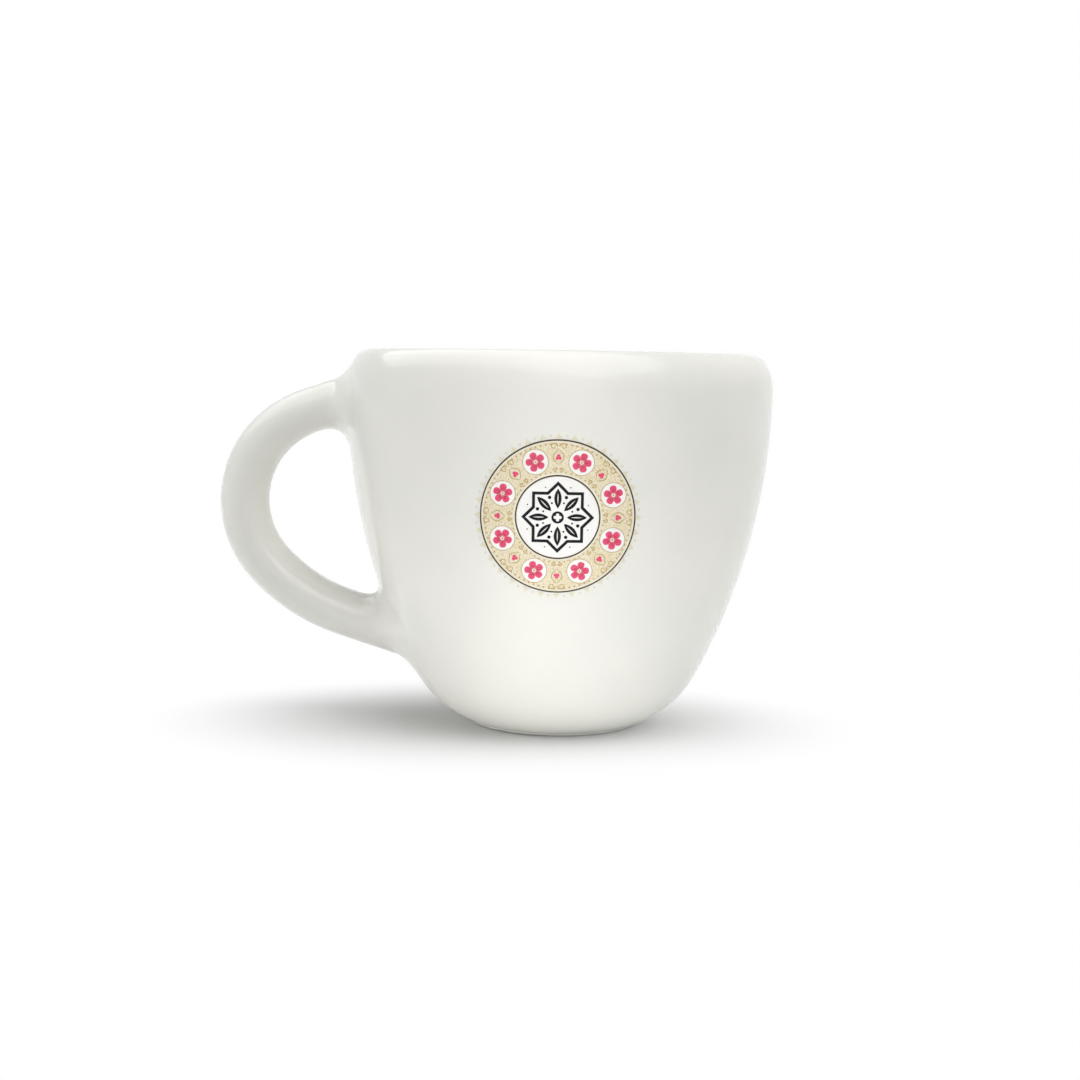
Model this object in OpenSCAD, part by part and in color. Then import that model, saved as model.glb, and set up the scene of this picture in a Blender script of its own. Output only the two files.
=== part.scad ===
// Round-bottomed glazed mug with a loop handle and a round fired print on its front.
// The cup's axis is Z, the mug stands on Z = 0, the handle points to -X and the print faces -Y.

/* [Cup] */
// Outside diameter at the widest line, just under the rim
cup_d = 94.4; // [86:0.2:104]
// Height from the table to the crest of the rim
cup_h = 83; // [77:0.5:90]
// Radius of the long curve of the wall, seen from the side
wall_curve_r = 138.5; // [120:0.5:170]
// Radius of the round that turns the wall under the cup
base_curve_r = 24; // [21:0.5:27]
// Thickness of the glazed wall
wall_t = 6.4; // [5:0.1:7.5]
// Height of the glazed floor above the table
floor_t = 7; // [5.5:0.1:8.5]
// Radius of the round between the floor and the wall, inside
inside_curve_r = 17.5; // [14:0.5:20]

/* [Rim] */
// Height of the rim's round, from the widest line to the crest
rim_round_h = 7.9; // [6.5:0.1:9.5]
// Radius of the rim's inner edge
rim_inner_r = 1.65; // [1:0.05:2.4]

/* [Foot] */
// Depth of the flat that is ground across the bottom of the base's round
foot_flat_h = 1; // [0.7:0.05:1.4]
// Width of the dry ring that stands on the table
foot_ring_w = 3.6; // [2.6:0.1:4.6]
// Depth of the well inside the foot ring
foot_well_h = 1.4; // [0.8:0.1:2.2]
// Slope of the well's side, as a level run
foot_well_run = 0.8; // [0.4:0.1:1.4]
// Height of the dry edge that the glaze leaves above the table
dry_edge_h = 0.5; // [0.3:0.05:0.8]

/* [Glaze] */
// Thickness of the fired glaze
glaze_t = 0.3; // [0.2:0.05:0.5]

/* [Handle, as shares of the cup's height] */
// Drop from the crest of the rim to the middle of the upper root
root_drop_share = 0.1313; // [0.124:0.001:0.15]
// Straight run of the handle at its upper root
root_run_share = 0.0988; // [0.094:0.001:0.115]
// Radius of the first bend of the handle's middle line
top_bend_share = 0.33; // [0.3:0.005:0.38]
// Radius of the bend round the back of the handle
back_bend_share = 0.2542; // [0.235:0.001:0.27]
// Radius of the long bend that runs back to the wall
tail_bend_share = 0.4675; // [0.43:0.005:0.52]
// Thickness at the upper root, seen from the side
top_thickness_share = 0.1185; // [0.108:0.0005:0.13]
// Thickness at the lower root, seen from the side
low_thickness_share = 0.127; // [0.115:0.0005:0.138]
// Thickness that the handle gains halfway round its back
swell_share = 0.007; // [0:0.001:0.015]
// Width from front to back
handle_width_share = 0.1566; // [0.14:0.001:0.18]

/* [Handle angles] */
// Slope where the handle leaves the wall, in degrees
root_slope = 18.7; // [14:0.1:22]
// Angle of the first bend, in degrees
top_bend_angle = 13; // [10:0.5:16]
// Angle of the bend round the back, in degrees
back_bend_angle = 100; // [96:1:104]
// Angle of the long bend, in degrees
tail_bend_angle = 30.5; // [27:0.5:33]

/* [Handle joints, as shares of the cup's height] */
// Reach of the upper joint up the wall, towards the rim
upper_rise_share = 0.042; // [0.036:0.001:0.052]
// Reach of the upper joint down the wall
upper_fall_share = 0.1; // [0.08:0.001:0.115]
// Reach of the lower joint up the wall
lower_rise_share = 0.088; // [0.07:0.001:0.1]
// Reach of the lower joint down the wall
lower_fall_share = 0.052; // [0.04:0.001:0.062]
// Reach of both joints along the wall to each side
side_share = 0.13; // [0.11:0.001:0.145]
// Reach of both joints along the outer side of the handle
outer_grip_share = 0.03; // [0.022:0.001:0.04]
// Reach of both joints along the inner side of the handle
inner_grip_share = 0.085; // [0.065:0.001:0.095]

/* [Print] */
// Diameter of the round print, seen from the front
print_d = 31; // [26:0.5:34]
// Height of the print's middle, as a share of the cup's height
print_height_share = 0.6036; // [0.56:0.005:0.62]
// Thickness of the fired colour
print_t = 0.06; // [0.05:0.01:0.12]
// Width of the dark lines, as a share of the print's diameter
line_share = 0.009; // [0.007:0.001:0.012]
// Bare gap between the dark rings and what lies next to them, as a share of the print's diameter
gap_share = 0.0113; // [0.008:0.001:0.015]
// Diameter of the white middle inside the gold band, as a share of the print's diameter
centre_share = 0.529; // [0.46:0.005:0.57]
// Diameter of the round windows, as a share of the width of the gold band
window_share = 0.822; // [0.7:0.01:0.88]
// Diameter across a blossom, as a share of its window's diameter
blossom_share = 0.78; // [0.65:0.01:0.85]

/* [Hidden] */
$fn = 96;

// Colours
clay_colour = "#e9e4d8";
glaze_colour = "#f3f2ec";
gold_colour = "#dfd2ae";
ring_colour = "#574a2b";
star_colour = "#242528";
blossom_colour = "#e4446f";

// Angular step of the points on the profile's arcs, in degrees
arc_step = 3;
// Points round the handle and round its joints
round_points = 36;
// Sides into which each bend of the handle is divided
top_bend_steps = 3;
back_bend_steps = 20;
tail_bend_steps = 6;
// Points across a joint's hollow face, and on the wall under it
hollow_steps = 7;
seat_steps = 4;
// Halvings in the search for the wall
search_steps = 26;
// Number of repeats in the print, of petals in a blossom and of tips on the star
print_repeats = 8;
petals = 5;
star_tips = 8;
// Overrun of cuts, and of solids that are cut
over = 2;

// Driving circles of the wall, seen from the side
widest_r = cup_d / 2;
widest_z = cup_h - rim_round_h;
crest_r = widest_r - wall_t + rim_inner_r;
rim_round_w = widest_r - crest_r;
wall_centre_r = widest_r - wall_curve_r;

// Middle, from the cup's axis, of a round of radius r that rests on height z inside a curve of radius big_r
function round_centre_r(big_r, r, z) =
    wall_centre_r + sqrt(pow(big_r - r, 2) - pow(widest_z - z - r, 2));

base_centre_r = round_centre_r(wall_curve_r, base_curve_r, -foot_flat_h);
base_centre_z = base_curve_r - foot_flat_h;
join_angle = atan2(base_centre_z - widest_z, base_centre_r - wall_centre_r);

inside_wall_r = wall_curve_r - wall_t;
inside_centre_r = round_centre_r(inside_wall_r, inside_curve_r, floor_t);
inside_centre_z = floor_t + inside_curve_r;
inside_join_angle = atan2(inside_centre_z - widest_z, inside_centre_r - wall_centre_r);

// Points of an arc about [c_r, c_z] with half-axes a and b, from angle from to angle to
function arc(c_r, c_z, a, b, from, to) =
    let (steps = max(2, ceil(abs(to - from) / arc_step)))
    [for (i = [0 : steps]) let (t = from + (to - from) * i / steps) [c_r + a * cos(t), c_z + b * sin(t)]];

// The wall's long curve is flat, so it takes finer steps than the rounds
function long_arc(r, from, to) =
    let (steps = ceil(abs(to - from) / arc_step * 2))
    [for (i = [0 : steps])
        let (t = from + (to - from) * i / steps) [wall_centre_r + r * cos(t), widest_z + r * sin(t)]];

// Outside of the cup, from its underside to the crest, grown outwards by g
function outer_points(g) = concat(
    arc(base_centre_r, base_centre_z, base_curve_r + g, base_curve_r + g, -90, join_angle),
    long_arc(wall_curve_r + g, join_angle, 0),
    arc(crest_r, widest_z, rim_round_w + g, rim_round_h + g, arc_step, 90));

// Inside of the cup, from the crest down to the floor, with the hollow grown by g
function inner_points(g) = concat(
    arc(crest_r, cup_h - rim_inner_r, rim_inner_r - g, rim_inner_r - g, 90, 180),
    long_arc(inside_wall_r + g, 0, inside_join_angle),
    arc(inside_centre_r, inside_centre_z, inside_curve_r + g, inside_curve_r + g, inside_join_angle, -90));

// Half section of the cup with its full round underneath, and with every face pulled in by g
module cup_section(g) {
    polygon(concat([[0, g - foot_flat_h]], outer_points(-g), inner_points(g), [[0, floor_t - g]]));
}

// Half section of what lies outside the cup's skin when it is pulled in by g, and outside the crest
module outside_section(g) {
    difference() {
        translate([0, -over])
            square([cup_d, cup_h + over]);
        polygon(concat(
            [[0, g - foot_flat_h]],
            outer_points(-g),
            [[crest_r, cup_h + over], [0, cup_h + over]]));
    }
}

// Radius of the cup's outside at height z, grown outwards by g
function skin_r(z, g = 0) =
    z > widest_z
        ? crest_r + (rim_round_w + g) * sqrt(max(0, 1 - pow((z - widest_z) / (rim_round_h + g), 2))) :
    z > base_centre_z + (base_curve_r + g) * sin(join_angle)
        ? wall_centre_r + sqrt(pow(wall_curve_r + g, 2) - pow(z - widest_z, 2)) :
    base_centre_r + sqrt(max(0, pow(base_curve_r + g, 2) - pow(z - base_centre_z, 2)));

// Lean of the outside at height z: the angle of its normal above the level
function skin_lean(z) =
    z > widest_z ? atan2((z - widest_z) / pow(rim_round_h, 2), (skin_r(z) - crest_r) / pow(rim_round_w, 2)) :
    z > base_centre_z + base_curve_r * sin(join_angle) ? asin((z - widest_z) / wall_curve_r) :
    asin((z - base_centre_z) / base_curve_r);

// Point on the outside at depth y and height z. The handle's side counts as positive here.
function on_skin(y, z, g = 0) = [sqrt(pow(skin_r(z, g), 2) - pow(y, 2)), y, z];

// Outward normal of the outside at a point on it
function skin_normal(p) =
    let (lean = skin_lean(p[2]), r = norm([p[0], p[1]]))
    [p[0] / r * cos(lean), p[1] / r * cos(lean), sin(lean)];

// Foot: the ring where the clay's round is cut off level with the table
foot_r = base_centre_r + sqrt(pow(base_curve_r - glaze_t, 2) - pow(base_centre_z, 2));
well_r = foot_r - foot_ring_w;

// Half section of the well inside the foot ring, and of the round that the table cuts away
module under_foot_section() {
    polygon([
        [0, -over],
        [cup_d, -over],
        [cup_d, 0],
        [well_r, 0],
        [well_r - foot_well_run, foot_well_h],
        [0, foot_well_h]
    ]);
}

// Lengths of the handle and its joints, which follow the cup's height
root_run = cup_h * root_run_share;
top_bend_r = cup_h * top_bend_share;
back_bend_r = cup_h * back_bend_share;
tail_bend_r = cup_h * tail_bend_share;
handle_t_top = cup_h * top_thickness_share;
handle_t_low = cup_h * low_thickness_share;
handle_swell = cup_h * swell_share;
handle_w = cup_h * handle_width_share;
side_reach = cup_h * side_share;
outer_grip = cup_h * outer_grip_share;
inner_grip = cup_h * inner_grip_share;

// Middle line of the handle: stations [radius, height, heading, run] from the upper root's bend to the lower
root_z = cup_h * (1 - root_drop_share);
first_station = [
    skin_r(root_z) + root_run * cos(root_slope),
    root_z - root_run * sin(root_slope),
    -root_slope,
    root_run
];

// Station after a turn of the middle line to the right, by an arc of radius r
function turned(s, r, turn) =
    let (h = s[2] - turn)
    [s[0] + r * (sin(s[2]) - sin(h)), s[1] - r * (cos(s[2]) - cos(h)), h, s[3] + r * turn * PI / 180];

// The stations along one bend
function bend(s, r, turn, steps) = [for (i = [1 : steps]) turned(s, r, turn * i / steps)];

top_bend = bend(first_station, top_bend_r, top_bend_angle, top_bend_steps);
back_bend = bend(top_bend[top_bend_steps - 1], back_bend_r, back_bend_angle, back_bend_steps);
tail_bend = bend(back_bend[back_bend_steps - 1], tail_bend_r, tail_bend_angle, tail_bend_steps);
stations = concat([first_station], top_bend, back_bend, tail_bend);
last_station = stations[len(stations) - 1];

// Half thickness of the handle, seen from the side, at a station
function half_t(s) =
    let (done = s[3] / last_station[3])
    (handle_t_top + (handle_t_low - handle_t_top) * done + handle_swell * pow(sin(180 * done), 2)) / 2;

// Angle round the handle's section of point j: 0 is its outer side
function round_angle(j) = 360 * j / round_points;

// Point j of the handle's section at a station, grown outwards by g
function section_point(s, j, g) =
    let (t = (half_t(s) + g) * cos(round_angle(j)))
    [s[0] - t * sin(s[2]), (handle_w / 2 + g) * sin(round_angle(j)), s[1] + t * cos(s[2])];

// Direction along the middle line at a station
function along(s) = [cos(s[2]), 0, sin(s[2])];

// How far a point lies outside the cup's skin, measured level from the axis
function outside_by(p, g) = norm([p[0], p[1]]) - skin_r(p[2], g);

// Distance along d at which a line from p meets the skin, by halving the reach between near and far
function reach(p, d, g, near, far, n = search_steps) =
    let (mid = (near + far) / 2)
    n == 0 ? mid :
    outside_by(p + mid * d, g) > 0 ? reach(p, d, g, mid, far, n - 1) : reach(p, d, g, near, mid, n - 1);

// A root is [station, direction into the wall, reach up, reach down, order of its lines round the handle]
upper_root = [
    first_station,
    -along(first_station),
    cup_h * upper_rise_share,
    cup_h * upper_fall_share,
    [0 : round_points - 1]
];
lower_root = [
    last_station,
    along(last_station),
    cup_h * lower_rise_share,
    cup_h * lower_fall_share,
    [round_points - 1 : -1 : 0]
];

// Point where line j of the handle's skin meets the cup's skin, both grown by g
function seat_point(root, j, g) =
    let (p = section_point(root[0], j, g))
    p + root[1] * reach(p, root[1], g, 0, cup_d / 2);

// Outer edge of a joint on the cup's skin, at line j
function edge_point(root, j, g) =
    let (
        p = seat_point(root, j, 0),
        rise = cos(round_angle(j)) * sign(cos(root[0][2])),
        z = p[2] + rise * (rise > 0 ? root[2] : root[3]),
        y = p[1] + side_reach * sin(round_angle(j))
    )
    on_skin(y, z, g);

// Corner of a joint: where line j of the handle crosses the plane that touches the cup at the joint's edge
function corner_point(root, j) =
    let (p = seat_point(root, j, 0), e = edge_point(root, j, 0), n = skin_normal(e))
    p + root[1] * (((e - p) * n) / (root[1] * n));

// Reach of a joint along line j of the handle, beyond its corner
function grip(j) = (outer_grip + inner_grip) / 2 + (outer_grip - inner_grip) / 2 * cos(round_angle(j));

// Edge of a joint on line j of the handle, whose skin is grown by g
function grip_point(root, j, g) =
    let (
        q = section_point(root[0], j, 0),
        run = (corner_point(root, j) - q) * root[1] - grip(j)
    )
    section_point(root[0], j, g) + root[1] * run;

// Closed outline of a joint's section at line j: its hollow face, then its seat on the wall and on the handle
function joint_outline(root, j) =
    let (
        a = grip_point(root, j, 0),
        b = corner_point(root, j),
        c = edge_point(root, j, 0),
        e = edge_point(root, j, -glaze_t),
        s = seat_point(root, j, -glaze_t)
    )
    concat(
        [for (i = [0 : hollow_steps])
            let (t = i / hollow_steps) a * pow(1 - t, 2) + b * 2 * t * (1 - t) + c * pow(t, 2)],
        [for (i = [0 : seat_steps - 1])
            let (t = i / seat_steps) on_skin(e[1] + (s[1] - e[1]) * t, e[2] + (s[2] - e[2]) * t, -glaze_t)],
        [s, grip_point(root, j, -glaze_t)]);

// Everything on the handle's side is drawn at -X
function to_handle_side(p) = [-p[0], p[1], p[2]];

// Closed ring solid from its outlines, one after another round the handle
module ring_solid(outlines) {
    rows = len(outlines);
    cols = len(outlines[0]);
    polyhedron(
        points = [for (row = outlines) for (p = row) to_handle_side(p)],
        faces = [for (j = [0 : rows - 1]) for (k = [0 : cols - 1])
            let (
                a = j * cols + k,
                b = j * cols + (k + 1) % cols,
                c = (j + 1) % rows * cols + (k + 1) % cols,
                d = (j + 1) % rows * cols + k
            )
            each [[a, b, c], [a, c, d]]]
    );
}

// Solid bar from its rings, closed at both ends by a fan round a middle point
module bar_solid(rings, start, finish) {
    cols = len(rings[0]);
    rows = len(rings);
    first = rows * cols;
    polyhedron(
        points = [
            for (row = rings) for (p = row) to_handle_side(p),
            to_handle_side(start),
            to_handle_side(finish)
        ],
        faces = [
            for (i = [0 : rows - 2]) for (j = [0 : cols - 1])
                let (a = i * cols + j, b = i * cols + (j + 1) % cols)
                each [[a, a + cols, b + cols], [a, b + cols, b]],
            for (j = [0 : cols - 1]) [first, j, (j + 1) % cols],
            for (j = [0 : cols - 1]) [first + 1, (rows - 1) * cols + (j + 1) % cols, (rows - 1) * cols + j]
        ]
    );
}

// Ring of the clay handle where it sits on the clay wall, and the ring half way to its middle
function seat_ring(root) = [for (j = [0 : round_points - 1]) seat_point(root, j, -glaze_t)];
function middle_of(ring) =
    let (a = ring[0], b = ring[round_points / 2])
    on_skin(0, (a[2] + b[2]) / 2, -glaze_t);
function half_ring(ring) =
    let (m = middle_of(ring))
    [for (p = ring) on_skin((p[1] + m[1]) / 2, (p[2] + m[2]) / 2, -glaze_t)];

// Outline of the round opening that a joint leaves in the cup's glaze, in depth and height
function opening_outline(root) =
    [for (j = [0 : round_points - 1]) let (e = edge_point(root, j, 0)) [e[1], e[2]]];

// Bar along -X through the outer glaze at a joint, from the middle of the wall outwards
module opening_bar(root) {
    intersection() {
        rotate([90, 0, -90])
            linear_extrude(height = cup_d)
                mirror([1, 0])
                    polygon(opening_outline(root));
        rotate_extrude()
            outside_section(wall_t / 2);
    }
}

// Clay of the cup: wall, floor and dry foot ring
module cup_body() {
    color(clay_colour)
        rotate_extrude()
            difference() {
                cup_section(glaze_t);
                under_foot_section();
            }
}

// Glaze on the outside and the inside of the cup, in one coat over the rim, open at the foot and the joints
module cup_glaze() {
    color(glaze_colour)
        difference() {
            rotate_extrude()
                difference() {
                    cup_section(0);
                    cup_section(glaze_t);
                    translate([0, -over])
                        square([cup_d, over + dry_edge_h]);
                }
            opening_bar(upper_root);
            opening_bar(lower_root);
        }
}

// Clay of the handle, seated on the clay wall at both roots
module handle() {
    upper_ring = seat_ring(upper_root);
    lower_ring = seat_ring(lower_root);
    color(clay_colour)
        bar_solid(
            concat(
                [half_ring(upper_ring), upper_ring],
                [for (s = stations) [for (j = [0 : round_points - 1]) section_point(s, j, -glaze_t)]],
                [lower_ring, half_ring(lower_ring)]
            ),
            middle_of(upper_ring),
            middle_of(lower_ring)
        );
}

// Glaze on the handle, from one joint to the other
module handle_glaze() {
    color(glaze_colour)
        ring_solid([for (j = [0 : round_points - 1]) concat(
            [grip_point(upper_root, j, 0)],
            [for (s = stations) section_point(s, j, 0)],
            [grip_point(lower_root, j, 0), grip_point(lower_root, j, -glaze_t)],
            [for (i = [len(stations) - 1 : -1 : 0]) section_point(stations[i], j, -glaze_t)],
            [grip_point(upper_root, j, -glaze_t)]
        )]);
}

// Slip wiped round a root of the handle into a hollow fillet, under the same glaze
module handle_joint(root) {
    color(glaze_colour)
        ring_solid([for (j = root[4]) joint_outline(root, j)]);
}

module upper_handle_joint() {
    handle_joint(upper_root);
}

module lower_handle_joint() {
    handle_joint(lower_root);
}

// Sizes inside the print, from its middle
print_r = print_d / 2;
print_z = cup_h * print_height_share;
line_w = print_d * line_share;
print_gap = print_d * gap_share;
band_outer_r = print_r - line_w - print_gap;
centre_r = print_r * centre_share;
band_inner_r = centre_r + line_w + print_gap;
window_ring_r = (band_outer_r + band_inner_r) / 2;
window_d = (band_outer_r - band_inner_r) * window_share;
blossom_d = window_d * blossom_share;
star_r = centre_r - line_w - 2 * print_gap;
petal_share = 0.2;
blossom_eye_share = 0.1;
// Shares of the star's radius: its valleys, as on two crossed squares, the inside of its frame,
// its leaves from end to end and across, and its heart
star_valley_share = 0.7654;
star_frame_share = 0.885;
leaf_inner_share = 0.25;
leaf_outer_share = 0.8;
leaf_width_share = 0.2;
star_heart_share = 0.17;
// Part of a turn round the cup in which the coat for the print is made, in degrees
front_angle = 90;

// Flat outline of a ring, by its outer radius and width
module ring_outline(r, w) {
    difference() {
        circle(r = r);
        circle(r = r - w);
    }
}

// Flat outline of a filled star, by the radius of its tips
module star_shape(r) {
    polygon([for (i = [0 : 2 * star_tips - 1])
        let (reach = i % 2 == 0 ? r : r * star_valley_share, a = 180 * i / star_tips)
        [reach * cos(a), reach * sin(a)]]);
}

// Flat outline of a leaf that points away from the middle: two equal circles overlap in it
module leaf_outline(inner, outer, w) {
    half_l = (outer - inner) / 2;
    r = (half_l * half_l + w * w / 4) / w;
    intersection_for (side = [-1, 1])
        translate([inner + half_l, side * (r - w / 2)])
            circle(r = r);
}

// Flat outline of the star: a frame, a leaf that points to each tip, and a round heart
module star_outline() {
    difference() {
        star_shape(star_r);
        star_shape(star_r * star_frame_share);
    }
    for (i = [0 : star_tips - 1])
        rotate(360 * i / star_tips)
            leaf_outline(star_r * leaf_inner_share, star_r * leaf_outer_share, star_r * leaf_width_share);
    circle(r = star_r * star_heart_share);
}

// Flat outline of one blossom
module blossom_outline() {
    difference() {
        for (i = [0 : petals - 1])
            rotate(360 * i / petals)
                translate([blossom_d * (1 / 2 - petal_share), 0])
                    circle(r = blossom_d * petal_share);
        circle(r = blossom_d * blossom_eye_share);
    }
}

// Half section of a thin coat on the glaze, from the base's round to the widest line
module coat_section() {
    polygon(concat(
        long_arc(wall_curve_r, join_angle, 0),
        long_arc(wall_curve_r + print_t, 0, join_angle)));
}

// A flat outline laid on the front of the glaze as a coat of colour
module fired_on() {
    intersection() {
        rotate([0, 0, -90 - front_angle / 2])
            rotate_extrude(angle = front_angle)
                coat_section();
        translate([0, 0, print_z])
            rotate([90, 0, 0])
                linear_extrude(height = cup_d)
                    children();
    }
}

module print_gold_band() {
    color(gold_colour)
        fired_on()
            difference() {
                ring_outline(band_outer_r, band_outer_r - band_inner_r);
                for (i = [0 : print_repeats - 1])
                    rotate(360 * (i + 0.5) / print_repeats)
                        translate([window_ring_r, 0])
                            circle(d = window_d);
            }
}

module print_dark_rings() {
    color(ring_colour)
        fired_on() {
            ring_outline(print_r, line_w);
            ring_outline(centre_r + line_w, line_w);
        }
}

module print_centre_star() {
    color(star_colour)
        fired_on()
            star_outline();
}

module print_blossoms() {
    color(blossom_colour)
        fired_on()
            for (i = [0 : print_repeats - 1])
                rotate(360 * (i + 0.5) / print_repeats)
                    translate([window_ring_r, 0])
                        blossom_outline();
}

cup_body();
cup_glaze();
handle();
handle_glaze();
upper_handle_joint();
lower_handle_joint();
print_gold_band();
print_dark_rings();
print_centre_star();
print_blossoms();
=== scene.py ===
"""Looks of a round-bottomed glazed mug with a loop handle and a round fired print.

Lengths in the shape classes are millimetres and follow the names of the part's source.
Finishes, trees and the studio are in metres. So are the meshes, which are made in the frame of the
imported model: the cup's axis is Z, the handle points to -X and the print faces -Y.
"""
import logging
import math
from collections.abc import Mapping, Sequence
from dataclasses import dataclass
from enum import Enum
from functools import cache

import bpy
import numpy as np
from bpy.types import Material, Mesh, Node, NodeSocket, NodeTree, Object
from mathutils import Matrix, Vector


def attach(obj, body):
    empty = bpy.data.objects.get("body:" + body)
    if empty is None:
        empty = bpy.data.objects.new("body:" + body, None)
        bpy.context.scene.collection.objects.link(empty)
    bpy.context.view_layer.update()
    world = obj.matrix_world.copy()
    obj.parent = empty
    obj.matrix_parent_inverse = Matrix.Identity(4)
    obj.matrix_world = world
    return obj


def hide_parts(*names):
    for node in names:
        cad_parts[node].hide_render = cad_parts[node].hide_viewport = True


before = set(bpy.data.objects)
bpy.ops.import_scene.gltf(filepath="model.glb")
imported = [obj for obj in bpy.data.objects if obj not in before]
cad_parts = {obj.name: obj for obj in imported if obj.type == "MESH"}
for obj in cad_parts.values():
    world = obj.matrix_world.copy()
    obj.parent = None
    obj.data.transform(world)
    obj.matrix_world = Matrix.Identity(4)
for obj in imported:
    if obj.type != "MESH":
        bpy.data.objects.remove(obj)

LOG = logging.getLogger("mug")
MM = 0.001
SHARP_ANGLE = 0.7
BODY = "root"
Rows = np.ndarray
Value = object
Inputs = Mapping[int | str, Value]
Pair = tuple[float, float]
Triple = tuple[float, float, float]
WHITE = (1.0, 1.0, 1.0, 1.0)
# Ranges of noise that a finish spreads out, and the ranges that it spreads them to.
BROAD: Pair = (0.3, 0.7)
NARROW: Pair = (0.35, 0.65)
UP: Pair = (0.0, 1.0)
DOWN: Pair = (1.0, 0.0)


class Slot(Enum):
    """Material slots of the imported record."""

    CLAY = "clay"
    GLAZE = "glaze"
    GOLD = "print_gold"
    BROWN = "print_brown"
    CHARCOAL = "print_charcoal"
    CRIMSON = "print_crimson"


class Acts(Enum):
    """What a lamp acts on."""

    MATT = "matt"
    GLOSS = "gloss"


class Root(Enum):
    """The two ends of the handle."""

    UPPER = "upper"
    LOWER = "lower"


class Nodes:
    """A node tree in the making, for shapes or for a material."""

    def __init__(self, tree: NodeTree) -> None:
        """Keeps the tree that the nodes go into."""
        self.tree = tree

    def add(self, kind: str, inputs: Inputs | None = None, **settings: Value) -> Node:
        """Adds a node.

        Args:
            kind: Blender's name of the node type.
            inputs: Sockets to link, or values to set, by the input's name or number.
            settings: Properties of the node.

        Returns:
            The new node.
        """
        node = self.tree.nodes.new(kind)
        for name, value in settings.items():
            setattr(node, name, value)
        for key, value in (inputs or {}).items():
            if isinstance(value, NodeSocket):
                self.tree.links.new(value, node.inputs[key])
            else:
                node.inputs[key].default_value = value
        return node

    def first(self, kind: str, inputs: Inputs | None = None, **settings: Value) -> NodeSocket:
        """Adds a node in the same way, and gives its first output."""
        return self.add(kind, inputs, **settings).outputs[0]

    def math(self, operation: str, *values: Value) -> NodeSocket:
        """Result of a Math node on sockets and numbers."""
        return self.first("ShaderNodeMath", dict(enumerate(values)), operation=operation)

    def vector(self, operation: str, *values: Value) -> NodeSocket:
        """Result of a Vector Math node on sockets and vectors."""
        return self.first("ShaderNodeVectorMath", dict(enumerate(values)), operation=operation)

    def joined(self, x: Value = 0.0, y: Value = 0.0, z: Value = 0.0) -> NodeSocket:
        """A vector made of three numbers."""
        return self.first("ShaderNodeCombineXYZ", {0: x, 1: y, 2: z})

    def parted(self, vector: NodeSocket) -> Sequence[NodeSocket]:
        """The three numbers of a vector."""
        return self.add("ShaderNodeSeparateXYZ", {0: vector}).outputs


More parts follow.
